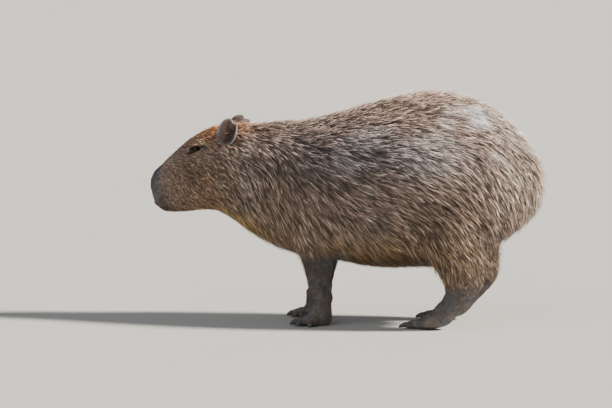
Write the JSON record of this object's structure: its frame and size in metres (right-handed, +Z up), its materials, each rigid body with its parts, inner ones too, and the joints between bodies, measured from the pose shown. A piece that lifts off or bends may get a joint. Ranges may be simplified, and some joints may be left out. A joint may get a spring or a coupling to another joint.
{
  "type": "capybara",
  "caption": "Standing capybara with a barrel body, blunt head, small cupped ears and short legs on flat soles, as a still life-size display figure.",
  "frame": {"origin": "on the floor below the middle of the bounding box", "axes": "+X from the nose towards the rump, +Y towards the animal's right side, +Z up"},
  "size_m": [1.0753, 0.3504, 0.6226],
  "materials": {
    "coat": "coarse grey-brown hair with tan tips",
    "face": "short close hair, bare slate-grey skin on the front of the nose",
    "ear_skin": "thin, nearly bare skin",
    "bare_skin": "dark slate-grey wrinkled skin with very short hair",
    "eye": "wet, polished, nearly black",
    "claw": "dark horn"
  },
  "bodies": {
    "root": {"torso": "coat", "neck": "coat", "thigh_left": "coat", "thigh_right": "coat", "head": "face", "ear_left": "ear_skin", "ear_right": "ear_skin", "foreleg_left": "bare_skin", "foreleg_right": "bare_skin", "forefoot_left": "bare_skin", "forefoot_right": "bare_skin", "hindfoot_left": "bare_skin", "hindfoot_right": "bare_skin", "eye_left": "eye", "eye_right": "eye", "foreclaw_left_1": "claw", "foreclaw_left_2": "claw", "foreclaw_left_3": "claw", "foreclaw_left_4": "claw", "foreclaw_right_1": "claw", "foreclaw_right_2": "claw", "foreclaw_right_3": "claw", "foreclaw_right_4": "claw", "hindclaw_left_1": "claw", "hindclaw_left_2": "claw", "hindclaw_left_3": "claw", "hindclaw_right_1": "claw", "hindclaw_right_2": "claw", "hindclaw_right_3": "claw"}
  },
  "joints": []
}
